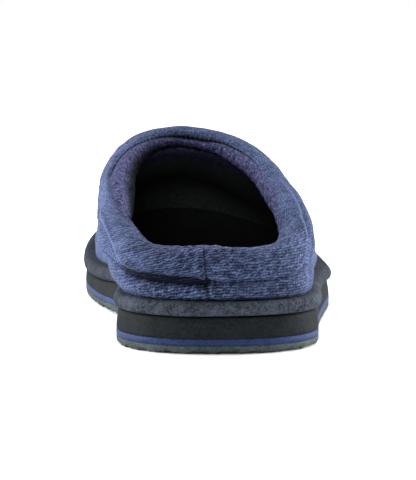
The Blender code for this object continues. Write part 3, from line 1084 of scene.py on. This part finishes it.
def crease_field(rows, spoke, angle, table, steps=200):
    """Every point's distance from a crease, negative on its outer side, and its strength there."""
    knots = np.array(table)
    at = np.linspace(knots[0, 0], knots[-1, 0], steps)
    turn = np.interp(at, knots[:, 0], knots[:, 1]) / 360 * (len(angle) - 1)
    low, k = turn.astype(int), np.arange(steps)
    share = (turn - low)[:, None]
    order = np.argsort(spoke)
    across = []
    for row in rows:
        axes = [np.interp(at, spoke[order], row[order, axis]) for axis in range(3)]
        across.append(np.column_stack(axes))
    across = np.array(across)
    line = across[low, k] * (1 - share) + across[low + 1, k] * share
    near = np.full(rows.shape[:2], 1.0)
    strength = np.zeros(rows.shape[:2])
    for point, strong in zip(line, np.interp(at, knots[:, 0], knots[:, 2])):
        away = np.linalg.norm(rows - point, axis=2)
        strength = np.where(away < near, strong, strength)
        near = np.minimum(near, away)
    side = np.sign(angle[:, None] - np.interp(spoke, knots[:, 0], knots[:, 1]))
    return near * side, strength


def size_property(name, description, default):
    return FloatProperty(
        name=name, description=description, default=default, subtype="DISTANCE", unit="LENGTH"
    )


def colour_property(name, description, *shade):
    return FloatVectorProperty(
        name=name, description=description, default=colour(*shade)[:3], subtype="COLOR"
    )


class SlipperSizes(bpy.types.PropertyGroup):
    """What a user would change about the slipper's looks."""

    row_height: size_property("Row height", "Height of one row of the knit", 1.15 * MM)
    stitch_width: size_property("Stitch width", "Width of one stitch of the knit", 1.35 * MM)
    knit_dark: colour_property("Knit, dark yarn", "Darker colour of the heathered knit", 24, 29, 54)
    knit_light: colour_property(
        "Knit, light yarn", "Lighter colour of the heathered knit", 100, 115, 155
    )
    terry_dark: colour_property("Terry, dark", "Darker colour of the lining", 38, 41, 68)
    terry_light: colour_property("Terry, light", "Lighter colour of the lining", 110, 113, 160)
    suede_dark: colour_property(
        "Suede, dark", "Darker colour of the brushed platform cloth", 26, 29, 34
    )
    suede_light: colour_property(
        "Suede, light", "Lighter colour of the brushed platform cloth", 84, 91, 104
    )
    camera_height: size_property("Camera height", "Height of the camera over the floor", 140 * MM)


class SLIPPER_OT_outsole(bpy.types.Operator):
    """Makes the rubber outsole with its small tread"""

    bl_idname = "slipper.outsole"
    bl_label = "Outsole"

    def execute(self, context):
        rows = layer_skin("outsole", np.array(OUTSOLE_SIDE) * MM, count=720)
        run = plain_cloth(rows)[:, :-1, 0]
        nubs = smooth_step((lumps(rows * [1, 1, 0], NUB_SIZE, 31) + 0.35) / 0.5)
        nubs = nubs * (0.85 + 0.15 * np.sin(run * math.tau / NUB_PITCH))
        low = bell(rows[:, :, 2] - layer_base("outsole", rows[:, :, 1]), 1.3 * MM)
        rows[:, :, 2] += TREAD_DEPTH * low * (1 - nubs)
        piece = skin("tread_outsole", rows, plain_cloth(rows), capped=True)
        finish = foam_finish("grey_rubber", colour(38, 45, 45), colour(94, 104, 106), 0.75)
        dress(piece, "outsole", finish)
        return {"FINISHED"}


class SLIPPER_OT_foam(bpy.types.Operator):
    """Makes the blue layer and the charcoal midsole"""

    bl_idname = "slipper.foam"
    bl_label = "Foam layers"

    def execute(self, context):
        rows = layer_skin("colour_layer", np.array(BLUE_SIDE) * MM)
        blue = skin("blue_layer", rows, plain_cloth(rows), capped=True)
        finish = foam_finish("blue_foam", colour(28, 40, 76), colour(56, 71, 114), 0.6)
        dress(blue, "colour_layer", finish)
        rows = layer_skin("midsole", np.array(MIDSOLE_SIDE) * [MM, 1])
        foam = skin("foam_midsole", rows, plain_cloth(rows), capped=True)
        finish = foam_finish("charcoal_foam", colour(14, 17, 18), colour(42, 47, 50), 0.85)
        dress(foam, "midsole", finish)
        return {"FINISHED"}


class SLIPPER_OT_platform(bpy.types.Operator):
    """Makes the wrapped platform"""

    bl_idname = "slipper.platform"
    bl_label = "Wrapped platform"

    def execute(self, context):
        side = []
        for angle in np.radians(np.linspace(-90, 90, 19)):
            outset = PLATFORM_BULGE - PLATFORM_ROUNDING * (1 - abs(math.cos(angle)) ** 0.8)
            side.append((outset, PLATFORM_THICK * (0.5 + 0.5 * math.sin(angle))))
        rows = layer_skin("platform", side, count=480)
        soft = np.zeros(len(rows))
        soft[4:-4] = 1.0
        uneven = lumps(rows, 70 * MM, 3) * 0.35 * MM * soft[:, None]
        rows = rows + row_normals(rows) * uneven[:, :, None]
        piece = skin("suede_platform", rows, plain_cloth(rows), capped=True)
        dress(piece, "platform", suede_finish())
        return {"FINISHED"}


class SLIPPER_OT_footbed(bpy.types.Operator):
    """Makes the padded footbed"""

    bl_idname = "slipper.footbed"
    bl_label = "Footbed"

    def execute(self, context):
        spoke = ring_spokes(240)
        side = [(shelf_line(spoke, WALL_THICK + inset * MM), rise) for inset, rise in FOOTBED_SIDE]
        (bottom, low), (top, high) = side[0], side[-1]
        lines = [(plan, low) for plan in inner_rings(bottom, (0.03, 0.3, 0.7))] + side
        for share, dip in FOOTBED_CUP:
            lines.append((inner_rings(top, (share,))[0], high - dip))
        rows = np.array([on_layer("insole", plan, rise * MM) for plan, rise in lines])
        # The footbed takes the lining's dark colour, painted shade of the shoe's inside
        piece = skin("footbed", rows, plain_cloth(rows) - FAR_DOWN, capped=True)
        dress(piece, "insole", lining_finish())
        return {"FINISHED"}


class SLIPPER_OT_upper(bpy.types.Operator):
    """Makes the knitted wall and the lining behind it"""

    bl_idname = "slipper.upper"
    bl_label = "Knitted upper"

    def execute(self, context):
        spoke = ring_spokes(360)
        shares = np.linspace(0, 1, 61) ** 1.1
        wall, length = wall_rows(spoke, shares)
        up = shares[:, None] * length
        past = from_back_seam(wall[0]) + HEEL_SEAM_ASIDE
        relief = self.relief(wall, spoke, up, length, past)
        outer = wall + row_normals(wall) * relief[:, :, None]
        edge, _, down, out = collar_frame(spoke)
        depth = collar_depth(spoke)[:, None]
        hidden = []
        for rise, back in WALL_END:
            hidden.append(edge + down * (depth - rise * MM) - out * back * MM)
        under = outer[0] - np.array([0, 0, FOOT_DROP])
        inner = outer - row_normals(outer) * KNIT_THICK
        base = layer_base("insole", shelf_line(spoke)[:, 1])
        inner[0] = np.column_stack([shelf_line(spoke, KNIT_THICK), base])
        outside = np.array([under, *outer, *hidden])
        shell = np.array([*outside, hidden[-1] - out * 1.0 * MM, *inner[::-1], under])
        beyond = [length + rise * MM for rise, _ in WALL_END]
        run = joined(np.array([0 * length, *up, *beyond]))
        flow = knit_flow(outside, run[-1:] - run, WALL_KNIT_CLIMB)
        flow = np.concatenate([filled(flow, len(shell) - 1), flow[:1]])
        # The wall's painted shade and dark seam stitching, carried to the finish in a map
        painted_shade = self.shade(spoke, up, length, past)
        dark = joined(filled(np.concatenate([painted_shade[:1], painted_shade]), len(shell)))
        piece = skin("knitted_upper", shell, flow, Seam=np.stack([dark, dark * 0], axis=2))
        dress(piece, "upper", knit_finish())
        self.line(wall, spoke, up, length)
        return {"FINISHED"}

    def relief(self, wall, spoke, up, length, past):
        """How far the wall stands out: its swell, the tuck under the roll and the heel's seam."""
        fold, _, _, swell, _ = columns(FOLD, spoke)
        bulge = swell * MM * np.sin(np.clip(up / np.minimum(length, 14 * MM), 0, 1) * math.pi)
        tuck = (1.9 - fold) * MM * bell(length - up, 1.4 * MM)
        uneven = lumps(wall, 34 * MM, 11) * 0.35 * MM + lumps(wall, 13 * MM, 12) * 0.12 * MM
        uneven = uneven * smooth_step(up / (6 * MM)) * smooth_step((length - up) / (8 * MM))
        slit = 0.7 * MM * bell(past + 2.7 * MM, 1.8 * MM) - 1.2 * MM * bell(past, 0.8 * MM)
        slit = slit * smooth_step(up / (1.5 * MM)) * bell(up, HEEL_SEAM_HEIGHT)
        drawn = 0
        for place, width, depth in FOOT_DRAWN_IN:
            drawn = drawn + depth * MM * bell(spoke - place, width)
        return bulge + tuck + uneven + slit - drawn * (1 - smooth_step(up / (13 * MM)))

    def shade(self, spoke, up, length, past):
        """Painted shade of the knit in the fold under the roll, along the platform and beside the
        heel, and the dark stitching of the heel's seam.
        """
        fold = through(FOLD, 1, spoke, 1.0)
        # Painted shade: the fold's crease, the line along the platform and the side of the heel are
        # darkened
        crease = smooth_step((fold - 1.2) / 2.4) * bell(length - up, 0.8 * MM)
        foot = 0.55 * bell(up, 0.9 * MM)
        stitched = bell(past, 0.5 * MM) * bell(up, HEEL_SEAM_HEIGHT)
        beside_heel = 0.3 * bell(spoke - 0.03, 0.035)
        return np.clip(crease * 1.3 + foot + stitched + beside_heel, 0, 1)

    def line(self, wall, spoke, up, length):
        """The terry lining, from the footbed up to the collar."""
        normal = row_normals(wall)
        (slope,) = columns(SLOPE_BACK, spoke)
        pad = LINING_PAD * np.clip(slope, 0, None) * smooth_step(1 - (length - up) / (22 * MM))
        face = wall - normal * (WALL_THICK + pad)[:, :, None]
        face[0] = on_layer("insole", shelf_line(spoke, WALL_THICK))
        edge, _, down, out = collar_frame(spoke)
        height = collar_depth(spoke)[:, None] - LINING_TUCK_UP
        tucked = edge + down * height - out * LINING_TUCK_IN
        back = wall - normal * LINING_BACK
        rows = np.array([*face, tucked, tucked + out * 1.0 * MM, *back[::-1], face[0]])
        up = np.array([*(up - length), 0 * length + LINING_TUCK_UP])
        below_collar = joined(filled(up, len(rows)))
        cloth = np.stack([plain_cloth(rows)[:, :, 0], below_collar], axis=2)
        piece = skin("wall_lining", rows, cloth)
        dress(piece, "upper", lining_finish())


class SLIPPER_OT_collar(bpy.types.Operator):
    """Makes the padded collar roll with its lining seam and back seam"""

    bl_idname = "slipper.collar"
    bl_label = "Padded collar"

    def execute(self, context):
        spoke = ring_spokes(560)
        rows, angle = roll_section(spoke, ROLL_TURNS)
        rows = rows + self.puff(spoke, len(rows))
        run = travel(rows)
        seam_turn, line = columns(LINING_SEAM, spoke)
        seam = [np.interp(180 + seam_turn[k], angle, run[:, k]) for k in range(len(spoke))]
        above = np.array(seam) - run
        top = run[ROLL_TURNS // 2] - run
        past = from_back_seam(rows[OUTER_BELLY]) + 2.4 * MM - BACK_SEAM_LEAN * top
        outer_crease, inner_crease = [crease_field(rows, spoke, angle, row) for row in CREASES]
        from_crease, power = np.where(spoke < 0.5, outer_crease, inner_crease)
        relief = self.seams(rows, run, line, above, past)
        relief = relief + self.hang(spoke, angle) + self.ridge(from_crease) * power
        rows = self.shaped(rows, spoke, angle, relief)
        # The roll's painted shade goes in the first map, with each point's distance from the lining's
        # seam
        maps = {
            "Seam": (self.shade(spoke, angle), above),
            "Trim": (np.broadcast_to(line, above.shape), past),
            "Crease": (from_crease, power),
        }
        maps = {title: joined(np.stack(pair, axis=2)) for title, pair in maps.items()}
        flow = knit_flow(rows, joined(top), ROLL_KNIT_CLIMB)
        piece = skin("collar_roll", rows, flow, **maps)
        dress(piece, "collar", collar_finish())
        return {"FINISHED"}

    def puff(self, spoke, count_up):
        """Blows the roll up between its base, the lining's seam and the back seam."""
        count = len(spoke) // 2
        coarse = ring_spokes(count)
        rows, angle = roll_section(coarse, ROLL_TURNS // 2)
        seam = 180 + through(LINING_SEAM, 1, coarse, 1.0)
        base = smooth_step((50 - np.minimum(angle, 360 - angle)) / 25)[:, None]
        sewn = bell(angle[:, None] - seam, 8)
        past = np.minimum(np.arange(count), count - np.arange(count))
        back = bell(past, 1.2) * smooth_step((angle - 20) / 30)[:, None]
        held = np.clip(np.maximum(np.maximum(base, sewn * 0.9), back), 0, 1)
        return finer(puffed(rows, held, spare=0.010, cap=0.6 * MM), count_up, len(spoke))

    def seams(self, rows, run, line, above, past):
        """How far the lining's seam, its pile, the back seam and the knit's unevenness stand out."""
        groove = -(0.3 + 0.9 * line) * MM * bell(above - 0.3 * MM, (0.6 + 0.5 * line) * MM)
        lined = smooth_step(-above / (3 * MM)) * smooth_step((above + run[-1]) / (4 * MM))
        pile = lined * (0.8 * MM + lumps(rows, 3.4 * MM, 23) * 0.3 * MM)
        outside = smooth_step((above - 0.5 * MM) / (2 * MM))
        slit = 0.6 * MM * bell(past + 2.0 * MM, 1.5 * MM) - 0.9 * MM * bell(past, 0.7 * MM)
        uneven = lumps(rows, 30 * MM, 21) * 0.18 * MM + lumps(rows, 8 * MM, 22) * 0.12 * MM
        return groove + pile + slit * outside + uneven

    def hang(self, spoke, angle):
        """How far the roll bellies out over the fold, at its foot and at the lip inside it."""
        _, belly, _, _, fill = columns(FOLD, spoke)
        hang = belly * MM * bell(angle - 92, 36)[:, None] + fill * MM * bell(angle - 38, 28)[:, None]
        return hang + 1.6 * MM * bell(spoke - 0.10, 0.05) * bell(angle - 275, 40)[:, None]

    def ridge(self, from_crease):
        """A crease's own section: a soft ridge with a trough on its outer side."""
        trough = 0.8 * MM * bell(from_crease + 1.1 * MM, 1.0 * MM)
        return 0.6 * MM * bell(from_crease - 0.8 * MM, 1.2 * MM) - trough

    def shaped(self, rows, spoke, angle, relief):
        """The roll with its relief, its underside drawn up and its inner face leaned."""
        normal = -row_normals(rows)
        normal = normal * np.sign(dot(normal, rows - rows[:-1].mean(axis=0)))
        drawn = through(FOLD, 3, spoke, 1.0) * MM * bell(angle - 20, 55)[:, None]
        (slope,) = columns(SLOPE_BACK, spoke)
        inner_face = smooth_step((angle - 215) / 90) * smooth_step((372 - angle) / 60)
        slope = slope * ROLL_LEAN * inner_face[:, None]
        _, _, down, out = collar_frame(spoke)
        rows = rows + normal * relief[:, :, None]
        rows = rows - down * drawn[:, :, None] + out * slope[:, :, None]
        rows[:, :, 2] -= 0.9 * MM * bell(spoke - 0.972, 0.022) * bell(angle - 190, 70)[:, None]
        rows[-1] = rows[0]
        return rows

    def shade(self, spoke, angle):
        """How much painted shade darkens the roll underneath, at its foot and where its lining turns
        away from the light.
        """
        _, _, drawn, _, fill = columns(FOLD, spoke)
        start, over = columns(LINING_PAINTED_SHADE, spoke)
        under = smooth_step((56 - angle) / 18)[:, None] * drawn / MOST_DRAWN_UP
        beneath = smooth_step((angle[:, None] - start) / over)
        foot = smooth_step((12 - angle) / 10)[:, None] * (1 - fill / MOST_FILLED_OUT)
        return np.clip(under * 0.1 + np.maximum(beneath, foot), 0, 1)


class SLIPPER_OT_studio(bpy.types.Operator):
    """Makes the pale floor, the soft lights and the camera"""

    bl_idname = "slipper.studio"
    bl_label = "Studio"

    def execute(self, context):
        bm = bmesh.new()
        bmesh.ops.create_grid(bm, x_segments=1, y_segments=1, size=FLOOR_REACH)
        mesh = bpy.data.meshes.new("studio_floor")
        bm.to_mesh(mesh)
        bm.free()
        floor = bpy.data.objects.new("studio_floor", mesh)
        context.scene.collection.objects.link(floor)
        finish = Finish("pale_floor", 0.9)
        mesh.materials.append(finish.wear(Base_Color=(0.93, 0.93, 0.93, 1.0)))
        self.surround(context)
        for name, (kind, spot, power, settings) in LAMPS.items():
            self.lamp(context, name, kind, spot, power, settings)
        self.camera(context)
        return {"FINISHED"}

    def surround(self, context):
        """A world that glows dimly, with a white backdrop that only the camera sees."""
        world = bpy.data.worlds.new("studio_world")
        context.scene.world = world
        world.use_nodes = True
        nodes = Nodes(world.node_tree)
        white = (1.0, 1.0, 1.0, 1.0)
        nodes.tree.nodes.remove(nodes.tree.nodes["Background"])
        glow = nodes.make("ShaderNodeBackground", {}, white, SURROUND_GLOW)
        backdrop = nodes.make("ShaderNodeBackground", {}, white, 1.0)
        ray = nodes.make("ShaderNodeLightPath", {}, out="Is Camera Ray")
        either = nodes.make("ShaderNodeMixShader", {}, ray, glow, backdrop)
        nodes.feed(nodes.tree.nodes["World Output"].inputs["Surface"], either)

    def lamp(self, context, name, kind, spot, power, settings):
        """A lamp that shines on the slipper's middle."""
        data = bpy.data.lights.new(name, kind)
        data.energy = power
        for key, value in settings.items():
            setattr(data, key, value)
        lamp = bpy.data.objects.new(name, data)
        context.scene.collection.objects.link(lamp)
        lamp.location = spot
        lamp.rotation_mode = "QUATERNION"
        aim = Vector((0.0, 0.0, 40 * MM)) - Vector(spot)
        lamp.rotation_quaternion = aim.to_track_quat("-Z", "Y")

    def camera(self, context):
        """The camera behind the heel, at the photograph's angle and distance."""
        data = bpy.data.cameras.new("photo_camera")
        data.sensor_width = CAMERA_SENSOR
        data.lens = CAMERA_LENS
        data.clip_start = 0.05
        data.clip_end = 30.0
        camera = bpy.data.objects.new("photo_camera", data)
        context.scene.collection.objects.link(camera)
        turn, pitch = math.radians(CAMERA_TURN), math.radians(CAMERA_PITCH)
        level = Vector((-math.sin(turn), math.cos(turn), 0.0))
        right = Vector((math.cos(turn), math.sin(turn), 0.0))
        camera.location = Vector(SHIFT) - level * CAMERA_BACK - right * CAMERA_ASIDE
        camera.location.z = slipper().camera_height
        aim = level * math.cos(pitch) - Vector((0.0, 0.0, math.sin(pitch)))
        camera.rotation_mode = "QUATERNION"
        camera.rotation_quaternion = aim.to_track_quat("-Z", "Y")
        context.scene.camera = camera
        context.scene.view_settings.view_transform = "Standard"


class SLIPPER_PT_panel(bpy.types.Panel):
    """Lists the slipper's pieces"""

    bl_idname = "SLIPPER_PT_panel"
    bl_label = "Slipper"
    bl_space_type = "VIEW_3D"
    bl_region_type = "UI"
    bl_category = "Slipper"

    def draw(self, context):
        sizes = context.scene.slipper_sizes
        for name in SlipperSizes.__annotations__:
            self.layout.prop(sizes, name)
        for operator in PIECES:
            self.layout.operator(operator.bl_idname)


PIECES = (
    SLIPPER_OT_outsole,
    SLIPPER_OT_foam,
    SLIPPER_OT_platform,
    SLIPPER_OT_footbed,
    SLIPPER_OT_upper,
    SLIPPER_OT_collar,
    SLIPPER_OT_studio,
)
CLASSES = (SlipperSizes, *PIECES, SLIPPER_PT_panel)


def register():
    for item in CLASSES:
        bpy.utils.register_class(item)
    bpy.types.Scene.slipper_sizes = PointerProperty(type=SlipperSizes)


def unregister():
    del bpy.types.Scene.slipper_sizes
    for item in reversed(CLASSES):
        bpy.utils.unregister_class(item)


def main():
    register()
    for operator in PIECES:
        group, name = operator.bl_idname.split(".")
        getattr(getattr(bpy.ops, group), name)()


if __name__ == "__main__":
    main()
